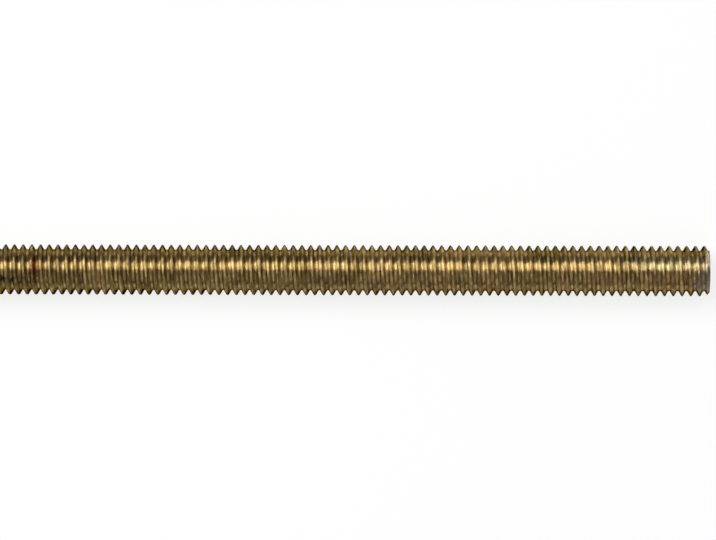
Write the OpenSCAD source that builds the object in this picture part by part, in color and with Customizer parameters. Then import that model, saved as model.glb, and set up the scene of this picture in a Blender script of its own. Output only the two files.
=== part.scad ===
// Threaded rod: a straight steel bar, threaded from end to end, with a chamfer at each end.
// The bar lies along X with its middle at the origin. All sizes are in millimetres.
// The solid is the rod's envelope over the thread's crests. The fine helical groove isn't cut.

/* [Rod] */
// Overall length, from end face to end face
rod_length = 304.8; // [25:0.1:1000]
// Diameter over the thread's crests
crest_d = 9.15; // [6:0.05:30]

/* [Thread] */
// Distance along the rod from one turn to the next
pitch = 1.5875; // [0.8:0.0005:2.5]

/* [Ends] */
// Height of thread left standing above its root at the end faces
end_thread_height = 0.22; // [0.05:0.01:0.35]
// Angle of the chamfer, from the rod's axis
chamfer_angle = 45; // [30:1:60]

/* [Hidden] */

// Facets on the drawn circles
round_fn = 96;

// Height of a full 60 degree vee of this pitch, and the 5/8 of it that the basic profile keeps
vee_height = pitch * sqrt(3) / 2;
thread_depth = vee_height * 5 / 8;

crest_r = crest_d / 2;
root_r = crest_r - thread_depth;

// The chamfer runs from the crests down almost to the root
end_face_r = root_r + end_thread_height;
chamfer_length = (crest_r - end_face_r) / tan(chamfer_angle);

half_length = rod_length / 2;
crest_half_length = half_length - chamfer_length;

// The outline from the axis to the crests, drawn with the rod's axis upright
module half_section() {
    polygon([
        [0, -half_length],
        [end_face_r, -half_length],
        [crest_r, -crest_half_length],
        [crest_r, crest_half_length],
        [end_face_r, half_length],
        [0, half_length],
    ]);
}

module rod() {
    color("darkgoldenrod")
        rotate([0, 90, 0])
            rotate_extrude($fn = round_fn)
                half_section();
}

rod();
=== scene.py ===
from math import atan2, ceil, cos, floor, hypot, pi, radians, sin, sqrt, tan

import bpy
from mathutils import Matrix, Vector


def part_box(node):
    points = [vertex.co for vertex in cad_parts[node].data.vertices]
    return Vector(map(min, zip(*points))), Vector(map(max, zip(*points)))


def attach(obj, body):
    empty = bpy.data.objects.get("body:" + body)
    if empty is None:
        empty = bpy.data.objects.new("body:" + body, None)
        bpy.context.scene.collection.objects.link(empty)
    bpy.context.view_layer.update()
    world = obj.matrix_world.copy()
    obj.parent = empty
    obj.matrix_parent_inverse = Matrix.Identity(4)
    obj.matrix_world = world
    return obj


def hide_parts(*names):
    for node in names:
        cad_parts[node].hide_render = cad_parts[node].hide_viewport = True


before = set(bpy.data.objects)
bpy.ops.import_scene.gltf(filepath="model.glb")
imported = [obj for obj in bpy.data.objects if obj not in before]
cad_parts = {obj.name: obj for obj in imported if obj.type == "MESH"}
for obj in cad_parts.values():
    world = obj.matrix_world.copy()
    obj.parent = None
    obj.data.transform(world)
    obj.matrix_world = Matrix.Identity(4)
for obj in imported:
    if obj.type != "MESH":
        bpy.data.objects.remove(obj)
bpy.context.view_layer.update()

# ---------------------------------------------------------------- sizes, in metres

MM = 0.001
_, ROD_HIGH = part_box("rod")
CREST_R = ROD_HIGH.z
HALF_LENGTH = ROD_HIGH.x

PITCH = 25.4 / 16 * MM
VEE_HEIGHT = PITCH * sqrt(3) / 2
BASIC_DEPTH = VEE_HEIGHT * 5 / 8
# The rolled root is a little deeper than the basic profile's, and the crest a little wider
THREAD_DEPTH = VEE_HEIGHT * 0.66
ROOT_R = CREST_R - THREAD_DEPTH
FLANK_ANGLE = radians(30)
CREST_FLAT = PITCH / 6
CREST_ROUNDING = 0.2 * MM
ROOT_ROUNDING = 0.16 * MM
CORNER_PIECES = 2

TURNS = round(2 * HALF_LENGTH / PITCH)
SPARE_TURNS = 4
STEPS_PER_TURN = 40
MERGE_DISTANCE = 0.001 * MM
SMOOTH_ANGLE = radians(35)
LARGE_FACE_WEIGHT = 100

# The chamfer leaves this much of the thread standing at the end face
END_THREAD_HEIGHT = 0.22 * MM
END_FACE_R = CREST_R - BASIC_DEPTH + END_THREAD_HEIGHT
END_RIM_ROUNDING = 0.06 * MM
# A face whose normal has this much of X in it faces along the rod
ALONG_THE_ROD = 0.99
# How near a face may come to the cutter's surface before it counts as cut
CHAMFER_TOLERANCE = 0.01 * MM
END_TOLERANCE = 0.001 * MM
# The bar that cuts the ends is this much wider than the crests, all round
CUTTER_MARGIN = 1 * MM
CUTTER_SIDES = 96

CAMERA_ELEVATION = radians(88)
CAMERA_DISTANCE = 0.8
CAMERA_LENS = 221.2
CAMERA_SENSOR = 36
CAMERA_CLIP_START = 0.01
CAMERA_ROLL = radians(0.147)
CAMERA_YAW = radians(-1.3)
# The middle of the view lies this far before the rod's end, and this far over its axis
SHOWN_BEFORE_END = 63.78 * MM
CAMERA_RISE = 0.05 * MM

# How far the last crest stands from the end face, on the rod's upper outline as the camera sees it
LAST_CREST_FROM_END = 0.955 * MM
UPPER_OUTLINE_ANGLE = pi / 2 - CAMERA_ELEVATION
# Where the crest crosses the rod's side that faces +Y, one turn and a bit past the end at -X
THREAD_START = (
    HALF_LENGTH - LAST_CREST_FROM_END - PITCH * UPPER_OUTLINE_ANGLE / (2 * pi) - (TURNS + 1) * PITCH)

# The thread starts and ends part way round, so it can reach into two more turns than TURNS
MAP_COLUMNS = 4
MAP_ROWS = ceil((TURNS + 2) / MAP_COLUMNS)
# The part of the map's height that the two ends have, how much of that band they fill, and where
# the ends at +X and -X lie across the map
MAP_END_BAND = 0.08
MAP_END_FILL = 0.9
MAP_END_PLACES = (0.25, 0.75)

WHITE = (1, 1, 1, 1)
FLOOR_SIZE = 6
FLOOR_COLOUR = (0.85, 0.85, 0.85, 1)
# The share of plain white in what the camera and the gloss see of the floor
FLOOR_GLOW_SHARE = 0.8
FLOOR_GLOW = 1.0
ROOM_LEVEL = 0.12

# Each lamp's height angle over the camera, its angle to the side, where left is negative, its
# distance, its size and its power in watts
KEY_RISE = radians(21.6)
KEY_SIDE = radians(-34)
KEY_DISTANCE = 1.2
KEY_WIDTH = 0.36
KEY_HEIGHT = 0.82
KEY_POWER = 16.4

FILL_RISE = radians(28)
FILL_SIDE = radians(25)
FILL_DISTANCE = 0.7
FILL_SIZE = 0.3
FILL_POWER = 0.9

FRONT_RISE = radians(-38)
FRONT_SIDE = radians(12)
FRONT_DISTANCE = 1.0
FRONT_WIDTH = 0.4
FRONT_HEIGHT = 1.2
FRONT_POWER = 2.3

BACK_RISE = radians(62)
BACK_SIDE = radians(-20)
BACK_DISTANCE = 1.0
BACK_WIDTH = 0.4
BACK_HEIGHT = 0.7
BACK_POWER = 0.65

# ---------------------------------------------------------------- finish, in millimetres

# Noise patterns: features to the millimetre, levels of detail, and how strong the detail is
MOTTLE = (1.1, 3.0, 0.6)
RIPPLE = (0.45, 1.0, 0.4)
GRAIN = (6.0, 2.0, 0.6)
RUBBING = (0.7, 2.0, 0.6)
SPOT_EDGE = (1.6, 2.0, 0.5)
# The detail alone, for patterns whose scale is given elsewhere
FILM_DETAIL = (2.0, 0.6)
LINE_DETAIL = (2.0, 0.6)

# The values that most of a noise lies between
NOISE_RANGE = (0.3, 0.7)
LINE_RANGE = (0.36, 0.64)
RUBBED_RANGE = (0.4, 0.6)
MOTTLE_AND_LINE_RANGE = (0.7, 1.3)

# Bands of the thread's height, which is 0 at the root and 1 at the crest, from none to full
ROOT_BAND = (0.25, 0.05)
FLANK_FOOT = (0.02, 0.25)
FLANK_TOP = (0.97, 0.8)
WORN_BAND = (0.82, 0.98)
CREST_BAND = (0.8, 0.97)
# The same for the left flank, on the sine of the way from one crest to the next
LEFT_FLANK_BAND = (0.15, -0.35)

# The film's colour from thin to thick
FILM_COLOURS = [
    (0.30, (0.300, 0.230, 0.080)),
    (0.44, (0.390, 0.296, 0.102)),
    (0.52, (0.528, 0.418, 0.186)),
    (0.58, (0.546, 0.404, 0.184)),
    (0.66, (0.460, 0.310, 0.122)),
    (0.76, (0.310, 0.210, 0.082)),
]
# How big its patches are, and how much of its range the thickness takes up
FILM_PATCH = 5.0
FILM_SPREAD = 0.65
# Two places on X or Y, and what is added to the thickness at each. Across the rod this is painted shade:
# thicker, browner film towards -Y.
FILM_DRIFT_ALONG = (20, 100, -0.1, 0.02)
FILM_SHADE_ACROSS = (-4.0, 1.0, 0.07, -0.03)
# Two places on Y, and the colour's lightness at each: painted shade along the rod's side that faces -Y
PAINTED_SIDE_SHADE = (-4.4, -2.2, 0.62, 1.0)

# The crests are worn in patches, from not at all to this much
WORN_ZINC = (0.66, 0.53, 0.28, 1)
CREST_WEAR = (0.0, 0.9)
WEAR_RAGGEDNESS = 0.1
# The patches are shorter along the rod than round it
RUBBING_STRETCH = (2, 1, 1)

# The roots are tinted paler, towards this colour
ROOT_PALE_TINT = (0.77, 0.56, 0.32, 1)
ROOT_PALENESS = 0.45
# Painted shade on the flanks, in brown, stronger on the left-facing ones
FLANK_PAINTED_SHADE = (0.70, 0.49, 0.24, 1)
RIGHT_FLANK_PAINTED_SHADE = 0.5
LEFT_FLANK_PAINTED_SHADE = 0.7

# The metal darkens at a grazing angle. Its gloss spreads fully, a quarter turn from its lines.
RIM_TINT = (0, 0, 0, 1)
GLOSS_SPREAD = 1
GLOSS_TURN = 0.25

# Lines to the millimetre out from the axis, and how fast each one changes along itself
LINES_PER_MM = 4.2
LINE_CHANGE_PER_MM = 0.5
LINE_SHADE = 0.46
LINE_HEIGHT = 0.01
MOTTLE_SHADE = 0.1
DENT_HEIGHT = 0.03
RIPPLE_HEIGHT = 0.05
GRAIN_HEIGHT = 0.006

# Lowest and highest roughness of the flanks, what the root adds, and the least and most a crest adds
FLANK_ROUGHNESS = (0.36, 0.48)
ROOT_ROUGHNESS = 0.04
CREST_ROUGHNESS = (0.12, 0.43)

# Each spot's centre, half size, colour and strength. A stain's colour multiplies what is under it.
STAINS = [
    ((30.1, 0.2, 4.2), (0.8, 3.0, 2.4), (0.42, 0.20, 0.17, 1), 0.9),
    ((24.2, -2.0, 3.8), (0.55, 0.8, 1.0), (0.06, 0.05, 0.05, 1), 0.95),
    ((25.85, -2.1, 3.8), (0.55, 0.8, 1.0), (0.06, 0.05, 0.05, 1), 0.95),
]
# A painted highlight on the upper side of the end's rim, a pale painted highlight by the end, and darker
# grey below it
END_PAINTED_GLINT = ((151.95, 2.0, 3.4), (0.42, 1.8, 2.2), (0.95, 0.82, 0.68, 1), 0.95)
END_PAINTED_HIGHLIGHT = ((145.5, 1.2, 4.4), (9.0, 1.5, 2.5), (0.74, 0.76, 0.52, 1), 0.5)
END_LOWER_GREY = ((151.6, -2.2, 3.6), (2.4, 3.0, 3.2), (0.36, 0.31, 0.29, 1), 0.6)
# How far a spot's edge wanders, and where it fades out and in, as shares of its half size
SPOT_RAGGEDNESS = 0.35
SPOT_FADE = (1.15, 0.6)

END_GREY = (0.30, 0.27, 0.24, 1)
END_GREYNESS = 0.7
END_FILM_DRIFT = 0.1
# Turning lines on the ends, in the same way
RINGS_PER_MM = 5.0
RING_CHANGE_PER_MM = 0.1
RING_SHADE = 0.3
RING_HEIGHT = 0.012
END_MOTTLE_SHADE = 0.25
END_DENT_HEIGHT = 0.03
END_ROUGHNESS = (0.38, 0.55)


# ---------------------------------------------------------------- small helpers

def take(piece):
    """Makes one object the selected and active one."""
    bpy.ops.object.select_all(action="DESELECT")
    piece.select_set(True)
    bpy.context.view_layer.objects.active = piece


def edit(piece):
    take(piece)
    bpy.ops.object.mode_set(mode="EDIT")
    bpy.ops.mesh.select_all(action="SELECT")


def leave_edit():
    bpy.ops.object.mode_set(mode="OBJECT")


def apply_modifier(piece, modifier):
    take(piece)
    bpy.ops.object.modifier_apply(modifier=modifier.name)


# ---------------------------------------------------------------- the thread's outline

def rounded_corner(corner, before, after, radius, pieces):
    """Points along an arc that blends the corner between two straight stretches."""
    to_before = (before - corner).normalized()
    to_after = (after - corner).normalized()
    half_turn = to_before.angle(to_after) / 2
    centre = corner + (to_before + to_after).normalized() * (radius / sin(half_turn))
    first = corner + to_before * (radius / tan(half_turn)) - centre
    last = corner + to_after * (radius / tan(half_turn)) - centre
    swing = first.angle_signed(last)
    points = []
    for i in range(pieces + 1):
        share = swing * i / pieces
        points.append(centre + Matrix.Rotation(-share, 2) @ first)
    return points


def thread_outline():
    """One turn's outline from root to root, as (along the rod, out from the axis)."""
    flank_run = THREAD_DEPTH * tan(FLANK_ANGLE)
    root_half = PITCH / 2 - CREST_FLAT / 2 - flank_run
    left_root = Vector((-PITCH / 2, ROOT_R))
    left_foot = Vector((-PITCH / 2 + root_half, ROOT_R))
    left_crest = Vector((-CREST_FLAT / 2, CREST_R))
    right_crest = Vector((CREST_FLAT / 2, CREST_R))
    left = rounded_corner(left_foot, left_root, left_crest, ROOT_ROUNDING, CORNER_PIECES)
    left += rounded_corner(left_crest, left_foot, right_crest, CREST_ROUNDING, CORNER_PIECES)
    right = [Vector((-p.x, p.y)) for p in reversed(left)]
    next_turn = left[0] + Vector((PITCH, 0))
    return left + right + [next_turn]


def draw_outline(name, points):
    """Extrudes one vertex from point to point, in the plane of X and Z."""
    bpy.ops.mesh.primitive_plane_add(size=MM, location=(points[0].x, 0, points[0].y))
    piece = bpy.context.object
    piece.name = piece.data.name = name
    edit(piece)
    bpy.ops.mesh.merge(type="CENTER")
    for here, there in zip(points, points[1:]):
        step = there - here
        bpy.ops.mesh.extrude_region_move(TRANSFORM_OT_translate={"value": (step.x, 0, step.y)})
    leave_edit()
    bpy.ops.object.transform_apply(location=True, rotation=True, scale=True)
    return piece


def wind_thread():
    """Winds the outline into a right-hand helix that runs a little past both ends of the rod."""
    piece = draw_outline("rod_thread", thread_outline())
    # The outline is drawn on the rod's top, a quarter turn on from the side that faces +Y
    edit(piece)
    bpy.ops.transform.translate(value=(THREAD_START + PITCH / 4, 0, 0))
    leave_edit()
    screw = piece.modifiers.new("wind", "SCREW")
    screw.axis = "X"
    screw.angle = 2 * pi
    screw.screw_offset = PITCH
    screw.iterations = TURNS + SPARE_TURNS
    screw.steps = screw.render_steps = STEPS_PER_TURN
    apply_modifier(piece, screw)
    edit(piece)
    bpy.ops.mesh.remove_doubles(threshold=MERGE_DISTANCE)
    bpy.ops.mesh.select_all(action="DESELECT")
    bpy.ops.mesh.select_non_manifold(extend=False, use_boundary=True)
    bpy.ops.mesh.edge_face_add()
    bpy.ops.mesh.select_all(action="SELECT")
    bpy.ops.mesh.normals_make_consistent(inside=False)
    leave_edit()
    return piece


# ---------------------------------------------------------------- the rod's two ends

def select_faces(piece, wanted):
    """Opens edit mode with only the wanted faces selected."""
    edit(piece)
    bpy.ops.mesh.select_mode(type="FACE")
    bpy.ops.mesh.select_all(action="DESELECT")
    leave_edit()
    for face in piece.data.polygons:
        face.select = wanted(face)
    bpy.ops.object.mode_set(mode="EDIT")


def bevel_rims(piece, width, segments):
    """Bevels the edge round each end face."""
    select_faces(piece, lambda face: abs(face.normal.x) > ALONG_THE_ROD)
    bpy.ops.mesh.region_to_loop()
    bpy.ops.mesh.bevel(offset=width, offset_type="OFFSET", segments=segments)
    leave_edit()


def end_envelope():
    """A bar wider than the thread, with the rod's length and its chamfered ends."""
    wide_r = CREST_R + CUTTER_MARGIN
    bpy.ops.mesh.primitive_cylinder_add(
        vertices=CUTTER_SIDES, radius=wide_r, depth=2 * HALF_LENGTH, rotation=(0, pi / 2, 0))
    piece = bpy.context.object
    bpy.ops.object.transform_apply(location=True, rotation=True, scale=True)
    bevel_rims(piece, wide_r - END_FACE_R, 1)
    bevel_rims(piece, END_RIM_ROUNDING, 2)
    return piece


def cut_ends(piece):
    envelope = end_envelope()
    cut = piece.modifiers.new("cut_ends", "BOOLEAN")
    cut.operation = "INTERSECT"
    cut.solver = "EXACT"
    cut.object = envelope
    apply_modifier(piece, cut)
    bpy.data.objects.remove(envelope)


def is_thread(face):
    """True on the thread, and False on an end face, its rim or its chamfer."""
    middle = face.center
    from_end = HALF_LENGTH - abs(middle.x)
    out = hypot(middle.y, middle.z)
    chamfer_out = END_FACE_R + from_end
    return out < chamfer_out - CHAMFER_TOLERANCE and from_end > END_TOLERANCE


def wrap_map(piece):
    """Lays the thread out on a UV map, turn above turn in a few columns, with the two ends over them."""
    mesh = piece.data
    layer = mesh.uv_layers.new(name="OFBake")
    row_height = (1 - MAP_END_BAND) / MAP_ROWS
    end_half_size = MAP_END_BAND / 2 * MAP_END_FILL
    for face in mesh.polygons:
        middle = face.center
        on_thread = is_thread(face)
        turn_at = atan2(middle.z, middle.y) / (2 * pi)
        turn = floor((middle.x - THREAD_START) / PITCH - turn_at + 0.5)
        for loop in face.loop_indices:
            spot = mesh.vertices[mesh.loops[loop].vertex_index].co
            if on_thread:
                around = atan2(spot.z, spot.y) / (2 * pi)
                around += round(turn_at - around)
                across = (spot.x - THREAD_START) / PITCH - around + 0.5 - turn
                column, row = divmod(turn, MAP_ROWS)
                layer.uv[loop].vector = (
                    (column + 0.5 + around) / MAP_COLUMNS,
                    (row + min(max(across, 0), 1)) * row_height)
            else:
                side = MAP_END_PLACES[0] if middle.x > 0 else MAP_END_PLACES[1]
                layer.uv[loop].vector = (
                    side + spot.y / CREST_R * end_half_size,
                    1 - MAP_END_BAND / 2 + spot.z / CREST_R * end_half_size)


# ---------------------------------------------------------------- node helpers

def add_node(tree, kind, **settings):
    made = tree.nodes.new("ShaderNode" + kind)
    for name, value in settings.items():
        setattr(made, name, value)
    return made


def feed(tree, value, socket):
    """Links an output to a socket, or sets a plain number, vector or colour on it."""
    if isinstance(value, bpy.types.NodeSocket):
        tree.links.new(value, socket)
    else:
        socket.default_value = value


def calculate(tree, operation, *values):
    """Arithmetic on numbers."""
    made = add_node(tree, "Math", operation=operation)
    for value, socket in zip(values, made.inputs):
        feed(tree, value, socket)
    return made.outputs[0]


def remap(tree, value, low, high, new_low=0.0, new_high=1.0, smooth=False):
    """Turns a range of values into another one, and holds it at both ends."""
    made = add_node(tree, "MapRange", interpolation_type="SMOOTHSTEP" if smooth else "LINEAR")
    for item, socket in zip((value, low, high, new_low, new_high), made.inputs):
        feed(tree, item, socket)
    return made.outputs[0]


def calculate_vector(tree, operation, first, second):
    """Arithmetic on two vectors, axis by axis."""
    made = add_node(tree, "VectorMath", operation=operation)
    feed(tree, first, made.inputs[0])
    feed(tree, second, made.inputs[1])
    return made.outputs[0]


def scale_vector(tree, vector, factor):
    """A position times one number, or a colour made lighter or darker by it."""
    made = add_node(tree, "VectorMath", operation="SCALE")
    feed(tree, vector, made.inputs[0])
    feed(tree, factor, made.inputs["Scale"])
    return made.outputs[0]


def split_xyz(tree, vector):
    made = add_node(tree, "SeparateXYZ")
    feed(tree, vector, made.inputs[0])
    return made.outputs


def noise(tree, vector, scale, detail, roughness, w=None):
    """Smooth noise. A number given as w takes the pattern through a fourth dimension."""
    made = add_node(tree, "TexNoise", noise_dimensions="3D" if w is None else "4D")
    feed(tree, vector, made.inputs["Vector"])
    feed(tree, scale, made.inputs["Scale"])
    made.inputs["Detail"].default_value = detail
    made.inputs["Roughness"].default_value = roughness
    if w is not None:
        feed(tree, w, made.inputs["W"])
    return made.outputs["Fac"]


def blend(tree, share, first, second, way="MIX"):
    """Two colours as one. The Mix node's colour sockets come after its number and vector ones."""
    made = add_node(tree, "Mix", data_type="RGBA", blend_type=way)
    feed(tree, share, made.inputs["Factor"])
    feed(tree, first, made.inputs[6])
    feed(tree, second, made.inputs[7])
    return made.outputs[2]


def new_group(name, inputs, outputs):
    """An empty node group, with the tree, its input node and its output node."""
    group = bpy.data.node_groups.new(name, "ShaderNodeTree")
    for socket, kind in inputs:
        group.interface.new_socket(socket, in_out="INPUT", socket_type="NodeSocket" + kind)
    for socket, kind in outputs:
        group.interface.new_socket(socket, in_out="OUTPUT", socket_type="NodeSocket" + kind)
    return group, group.nodes.new("NodeGroupInput").outputs, group.nodes.new("NodeGroupOutput").inputs


def place_group(tree, group, **values):
    """Places a node group in a material. A socket's spaces are underscores here."""
    made = tree.nodes.new("ShaderNodeGroup")
    made.node_tree = group
    for name, value in values.items():
        feed(tree, value, made.inputs[name.replace("_", " ")])
    return made.outputs


# ---------------------------------------------------------------- node groups, in millimetres

def thread_place_group():
    """A point's distance from the axis, its height from root to crest, and which flank it is on."""
    tree, given, result = new_group(
        "thread_place", [("Position", "Vector")],
        [("Radius", "Float"), ("Height", "Float"), ("Left Flank", "Float")])
    x, y, z = split_xyz(tree, given["Position"])
    radius = calculate(tree, "SQRT", calculate(tree, "ADD", calculate(tree, "MULTIPLY", y, y),
                                               calculate(tree, "MULTIPLY", z, z)))
    around = calculate(tree, "ARCTAN2", z, y)
    along = calculate(tree, "MULTIPLY_ADD", x, 2 * pi / (PITCH / MM), -THREAD_START / PITCH * 2 * pi)
    phase = calculate(tree, "SINE", calculate(tree, "SUBTRACT", along, around))
    feed(tree, radius, result["Radius"])
    feed(tree, remap(tree, radius, ROOT_R / MM, CREST_R / MM), result["Height"])
    feed(tree, remap(tree, phase, *LEFT_FLANK_BAND, smooth=True), result["Left Flank"])
    return tree


def drag_line_group():
    """Fine lines round the rod, each at its own distance from the axis, as rollers and tools leave."""
    tree, given, result = new_group(
        "drag_lines",
        [("Position", "Vector"), ("Radius", "Float"), ("Lines Per mm", "Float"),
         ("Change Per mm", "Float")],
        [("Lines", "Float")])
    slow = scale_vector(tree, given["Position"], given["Change Per mm"])
    fast = calculate(tree, "MULTIPLY", given["Radius"], given["Lines Per mm"])
    feed(tree, noise(tree, slow, 1.0, *LINE_DETAIL, w=fast), result["Lines"])
    return tree


def chromate_film_group():
    """The chromate film's colour, which drifts through olive, gold and brown with its thickness."""
    tree, given, result = new_group(
        "chromate_film", [("Position", "Vector"), ("Patch Size", "Float"), ("Drift", "Float")],
        [("Color", "Color")])
    per_mm = calculate(tree, "DIVIDE", 1.0, given["Patch Size"])
    broad = noise(tree, given["Position"], per_mm, *FILM_DETAIL)
    evened = remap(tree, broad, 0, 1, 0.5 - FILM_SPREAD / 2, 0.5 + FILM_SPREAD / 2)
    thickness = calculate(tree, "ADD", evened, given["Drift"])
    ramp = add_node(tree, "ValToRGB")
    feed(tree, thickness, ramp.inputs[0])
    ramp.color_ramp.elements.remove(ramp.color_ramp.elements[0])
    ramp.color_ramp.elements[0].position = FILM_COLOURS[0][0]
    ramp.color_ramp.elements[0].color = (*FILM_COLOURS[0][1], 1)
    for place, colour in FILM_COLOURS[1:]:
        ramp.color_ramp.elements.new(place).color = (*colour, 1)
    feed(tree, ramp.outputs["Color"], result["Color"])
    return tree


def spot_group():
    """1 inside an egg-shaped spot round a centre, and 0 outside it, with a ragged edge."""
    tree, given, result = new_group(
        "spot", [("Position", "Vector"), ("Centre", "Vector"), ("Half Size", "Vector")],
        [("Mask", "Float")])
    away = calculate_vector(tree, "SUBTRACT", given["Position"], given["Centre"])
    length = add_node(tree, "VectorMath", operation="LENGTH")
    feed(tree, calculate_vector(tree, "DIVIDE", away, given["Half Size"]), length.inputs[0])
    edge = noise(tree, given["Position"], *SPOT_EDGE)
    wander = remap(tree, edge, *NOISE_RANGE, -SPOT_RAGGEDNESS, SPOT_RAGGEDNESS)
    out = calculate(tree, "ADD", length.outputs["Value"], wander)
    feed(tree, remap(tree, out, *SPOT_FADE, smooth=True), result["Mask"])
    return tree


# ---------------------------------------------------------------- materials

def position_in_mm(tree):
    place = add_node(tree, "TexCoord")
    return scale_vector(tree, place.outputs["Object"], 1 / MM)


def drawn_metal(tree):
    """The plated metal's shader, whose gloss spreads along the rod from fine lines that run round it."""
    shader = tree.nodes["Principled BSDF"]
    shader.inputs["Metallic"].default_value = 1
    shader.inputs["Specular Tint"].default_value = RIM_TINT
    shader.inputs["Anisotropic"].default_value = GLOSS_SPREAD
    shader.inputs["Anisotropic Rotation"].default_value = GLOSS_TURN
    round_the_rod = add_node(tree, "Tangent", direction_type="RADIAL", axis="X")
    tree.links.new(round_the_rod.outputs["Tangent"], shader.inputs["Tangent"])
    return shader


def raise_surface(tree, shader, relief):
    """Bumps the surface by a height in millimetres."""
    bump = add_node(tree, "Bump")
    bump.inputs["Strength"].default_value = 1
    bump.inputs["Distance"].default_value = MM
    tree.links.new(relief, bump.inputs["Height"])
    tree.links.new(bump.outputs["Normal"], shader.inputs["Normal"])


def patch(tree, groups, position, colour, spot, way="MIX"):
    """Lays one ragged spot of another colour over a surface."""
    centre, half_size, tint, share = spot
    placed = place_group(tree, groups["spot"], Position=position, Centre=centre, Half_Size=half_size)
    return blend(tree, calculate(tree, "MULTIPLY", placed["Mask"], share), colour, tint, way)


def yellow_zinc(groups):
    """Yellow chromate over zinc, on the rolled thread."""
    material = bpy.data.materials.new("yellow_zinc")
    material.use_nodes = True
    tree = material.node_tree
    shader = drawn_metal(tree)
    position = position_in_mm(tree)
    place = place_group(tree, groups["thread_place"], Position=position)
    height = place["Height"]

    along, across, _ = split_xyz(tree, position)
    drift_along = remap(tree, along, *FILM_DRIFT_ALONG)
    # Painted shade across the rod: thicker, browner film towards -Y
    shade_across = remap(tree, across, *FILM_SHADE_ACROSS)
    film = place_group(
        tree, groups["chromate_film"], Position=position, Patch_Size=FILM_PATCH,
        Drift=calculate(tree, "ADD", drift_along, shade_across))
    lines = place_group(
        tree, groups["drag_lines"], Position=position, Radius=place["Radius"],
        Lines_Per_mm=LINES_PER_MM, Change_Per_mm=LINE_CHANGE_PER_MM)["Lines"]
    mottle = noise(tree, position, *MOTTLE)
    ripple = noise(tree, position, *RIPPLE)
    grain = noise(tree, position, *GRAIN)
    rubbed = noise(tree, calculate_vector(tree, "MULTIPLY", position, RUBBING_STRETCH), *RUBBING)

    # Painted pale highlight by the end, painted shade in brown on the flanks, stronger on the left ones,
    # and pale crests and roots
    ragged_height = calculate(
        tree, "ADD", height, remap(tree, mottle, *NOISE_RANGE, -WEAR_RAGGEDNESS, WEAR_RAGGEDNESS))
    most_wear = remap(tree, rubbed, *RUBBED_RANGE, *CREST_WEAR)
    wear = remap(tree, ragged_height, *WORN_BAND, 0, most_wear, smooth=True)
    flank = calculate(tree, "MULTIPLY", remap(tree, height, *FLANK_FOOT, smooth=True),
                      remap(tree, height, *FLANK_TOP, smooth=True))
    # Painted shade on the flanks, stronger on the left-facing ones
    painted_flank_shade = remap(tree, place["Left Flank"], 0, 1, RIGHT_FLANK_PAINTED_SHADE, LEFT_FLANK_PAINTED_SHADE)
    # A pale patch painted over the highlight by the end
    colour = patch(tree, groups, position, film["Color"], END_PAINTED_HIGHLIGHT)
    colour = blend(tree, calculate(tree, "MULTIPLY", flank, painted_flank_shade), colour, FLANK_PAINTED_SHADE, "MULTIPLY")
    colour = blend(tree, wear, colour, WORN_ZINC)
    root = remap(tree, height, *ROOT_BAND, 0, ROOT_PALENESS, smooth=True)
    colour = blend(tree, root, colour, ROOT_PALE_TINT)

    # Uneven shade: lines along the thread, mottling, and painted shade on the side that faces -Y
    shade = calculate(tree, "MULTIPLY", remap(tree, lines, *LINE_RANGE, 1 - LINE_SHADE, 1 + LINE_SHADE),
                      remap(tree, mottle, *NOISE_RANGE, 1 - MOTTLE_SHADE, 1 + MOTTLE_SHADE))
    shade = calculate(tree, "MULTIPLY", shade, remap(tree, across, *PAINTED_SIDE_SHADE))
    colour = scale_vector(tree, colour, shade)

    for spot in STAINS:
        colour = patch(tree, groups, position, colour, spot, "MULTIPLY")
    # Darker grey on the end's lower side
    colour = patch(tree, groups, position, colour, END_LOWER_GREY)
    # A painted highlight on the upper side of the end's rim
    colour = patch(tree, groups, position, colour, END_PAINTED_GLINT)
    tree.links.new(colour, shader.inputs["Base Color"])

    rough = remap(tree, calculate(tree, "ADD", mottle, lines), *MOTTLE_AND_LINE_RANGE, *FLANK_ROUGHNESS)
    crest_rough = remap(tree, rubbed, *RUBBED_RANGE, *CREST_ROUGHNESS)
    rough = calculate(tree, "ADD", rough, remap(tree, height, *CREST_BAND, 0, crest_rough, smooth=True))
    rough = calculate(tree, "ADD", rough, remap(tree, height, *ROOT_BAND, 0, ROOT_ROUGHNESS, smooth=True))
    tree.links.new(rough, shader.inputs["Roughness"])

    relief = calculate(tree, "MULTIPLY", ripple, RIPPLE_HEIGHT)
    relief = calculate(tree, "MULTIPLY_ADD", mottle, DENT_HEIGHT, relief)
    relief = calculate(tree, "MULTIPLY_ADD", lines, LINE_HEIGHT, relief)
    relief = calculate(tree, "MULTIPLY_ADD", grain, GRAIN_HEIGHT, relief)
    raise_surface(tree, shader, relief)
    return material


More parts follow.
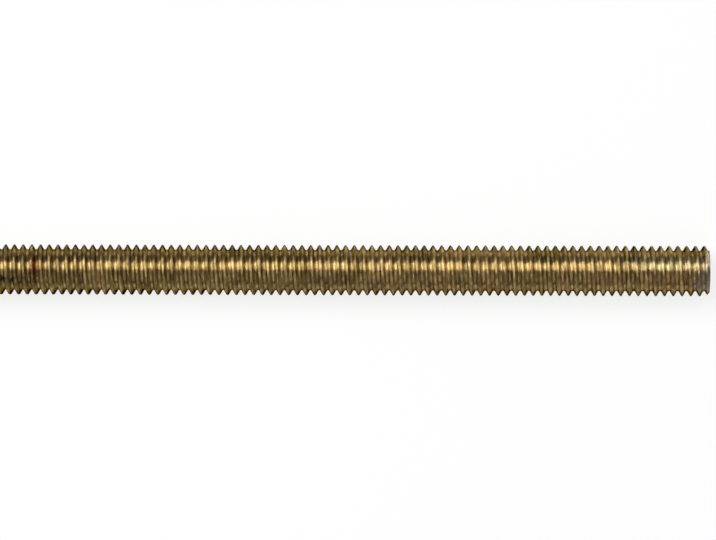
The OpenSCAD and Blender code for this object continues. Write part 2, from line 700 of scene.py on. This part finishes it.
def cut_end(groups):
    """The sawn and chamfered ends, greyer than the thread, with turning lines round them."""
    material = bpy.data.materials.new("cut_end")
    material.use_nodes = True
    tree = material.node_tree
    shader = drawn_metal(tree)
    position = position_in_mm(tree)
    place = place_group(tree, groups["thread_place"], Position=position)
    film = place_group(
        tree, groups["chromate_film"], Position=position, Patch_Size=FILM_PATCH, Drift=END_FILM_DRIFT)
    rings = place_group(
        tree, groups["drag_lines"], Position=position, Radius=place["Radius"],
        Lines_Per_mm=RINGS_PER_MM, Change_Per_mm=RING_CHANGE_PER_MM)["Lines"]
    mottle = noise(tree, position, *MOTTLE)

    # Grey film on the ends, with a painted highlight on the upper side of the rim
    colour = patch(tree, groups, position, blend(tree, END_GREYNESS, film["Color"], END_GREY), END_PAINTED_GLINT)
    shade = calculate(tree, "MULTIPLY", remap(tree, rings, *NOISE_RANGE, 1 - RING_SHADE, 1 + RING_SHADE),
                      remap(tree, mottle, *NOISE_RANGE, 1 - END_MOTTLE_SHADE, 1 + END_MOTTLE_SHADE))
    tree.links.new(scale_vector(tree, colour, shade), shader.inputs["Base Color"])
    tree.links.new(remap(tree, mottle, *NOISE_RANGE, *END_ROUGHNESS), shader.inputs["Roughness"])

    relief = calculate(tree, "MULTIPLY", mottle, END_DENT_HEIGHT)
    raise_surface(tree, shader, calculate(tree, "MULTIPLY_ADD", rings, RING_HEIGHT, relief))
    return material


# ---------------------------------------------------------------- studio

def light_path_share(tree):
    """1 for rays from the camera, from gloss and through glass, and 0 for all others."""
    path = add_node(tree, "LightPath").outputs
    seen_or_mirrored = calculate(tree, "MAXIMUM", path["Is Camera Ray"], path["Is Glossy Ray"])
    return calculate(tree, "MAXIMUM", seen_or_mirrored, path["Is Transmission Ray"])


def pale_floor():
    """A plain white floor under the rod, which still takes a faint shadow."""
    bpy.ops.mesh.primitive_plane_add(size=FLOOR_SIZE, location=(0, 0, -CREST_R))
    floor_piece = bpy.context.object
    floor_piece.name = "floor"
    material = bpy.data.materials.new("floor")
    material.use_nodes = True
    tree = material.node_tree
    tree.nodes.remove(tree.nodes["Principled BSDF"])
    paint = add_node(tree, "BsdfDiffuse")
    paint.inputs["Color"].default_value = FLOOR_COLOUR
    glow = add_node(tree, "Emission")
    glow.inputs["Strength"].default_value = FLOOR_GLOW
    share = calculate(tree, "MULTIPLY", light_path_share(tree), FLOOR_GLOW_SHARE)
    mix = add_node(tree, "MixShader")
    tree.links.new(share, mix.inputs[0])
    tree.links.new(paint.outputs[0], mix.inputs[1])
    tree.links.new(glow.outputs[0], mix.inputs[2])
    tree.links.new(mix.outputs[0], tree.nodes["Material Output"].inputs["Surface"])
    floor_piece.data.materials.append(material)


def camera_axes():
    """Directions as the camera sees the rod: towards it, up the picture, and along the rod."""
    toward = Vector((0, -cos(CAMERA_ELEVATION), sin(CAMERA_ELEVATION)))
    up = Vector((0, sin(CAMERA_ELEVATION), cos(CAMERA_ELEVATION)))
    return toward, up, Vector((1, 0, 0))


def soft_box(name, rise, side, distance, width, height, power):
    """A large lamp square on to the rod, from a height angle over the camera and an angle to its side."""
    toward, up, along = camera_axes()
    middle = toward * cos(rise) + up * sin(rise)
    back = middle * cos(side) + along * sin(side)
    across = along * cos(side) - middle * sin(side)
    bpy.ops.object.light_add(type="AREA")
    lamp = bpy.context.object
    lamp.name = lamp.data.name = name
    lamp.data.shape = "RECTANGLE"
    lamp.data.size = width
    lamp.data.size_y = height
    lamp.data.energy = power
    turn = Matrix((across, back.cross(across), back)).transposed().to_4x4()
    lamp.matrix_world = Matrix.Translation(back * distance) @ turn


def grey_room():
    """Plain grey light from all round."""
    world = bpy.data.worlds.new("room")
    bpy.context.scene.world = world
    world.use_nodes = True
    world.node_tree.nodes["Background"].inputs["Color"].default_value = WHITE
    world.node_tree.nodes["Background"].inputs["Strength"].default_value = ROOM_LEVEL


def camera():
    """A long lens nearly straight above the rod, turned and rolled a little."""
    data = bpy.data.cameras.new("camera")
    made = bpy.data.objects.new("camera", data)
    bpy.context.scene.collection.objects.link(made)
    bpy.context.scene.camera = made
    data.lens = CAMERA_LENS
    data.sensor_width = CAMERA_SENSOR
    data.clip_start = CAMERA_CLIP_START
    square_on, up, along = camera_axes()
    toward = square_on * cos(CAMERA_YAW) - along * sin(CAMERA_YAW)
    target = along * (HALF_LENGTH - SHOWN_BEFORE_END) + up * CAMERA_RISE
    right = (along - toward * toward.x).normalized()
    turn = Matrix((right, toward.cross(right), toward)).transposed().to_4x4()
    place = Matrix.Translation(target + toward * CAMERA_DISTANCE)
    made.matrix_world = place @ turn @ Matrix.Rotation(CAMERA_ROLL, 4, "Z")


# ---------------------------------------------------------------- the scene

rod = wind_thread()
cut_ends(rod)
wrap_map(rod)
node_groups = {
    "thread_place": thread_place_group(),
    "drag_lines": drag_line_group(),
    "chromate_film": chromate_film_group(),
    "spot": spot_group(),
}
rod.data.materials.append(yellow_zinc(node_groups))
rod.data.materials.append(cut_end(node_groups))
for face in rod.data.polygons:
    face.material_index = 0 if is_thread(face) else 1
take(rod)
bpy.ops.object.shade_smooth_by_angle(angle=SMOOTH_ANGLE)
weigh = rod.modifiers.new("weigh_normals", "WEIGHTED_NORMAL")
weigh.mode = "FACE_AREA"
weigh.weight = LARGE_FACE_WEIGHT
weigh.keep_sharp = True
apply_modifier(rod, weigh)
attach(rod, "root")
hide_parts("rod")

pale_floor()
soft_box("key", KEY_RISE, KEY_SIDE, KEY_DISTANCE, KEY_WIDTH, KEY_HEIGHT, KEY_POWER)
soft_box("fill", FILL_RISE, FILL_SIDE, FILL_DISTANCE, FILL_SIZE, FILL_SIZE, FILL_POWER)
soft_box("front", FRONT_RISE, FRONT_SIDE, FRONT_DISTANCE, FRONT_WIDTH, FRONT_HEIGHT, FRONT_POWER)
soft_box("back", BACK_RISE, BACK_SIDE, BACK_DISTANCE, BACK_WIDTH, BACK_HEIGHT, BACK_POWER)
grey_room()
camera()
bpy.context.scene.view_settings.view_transform = "Standard"
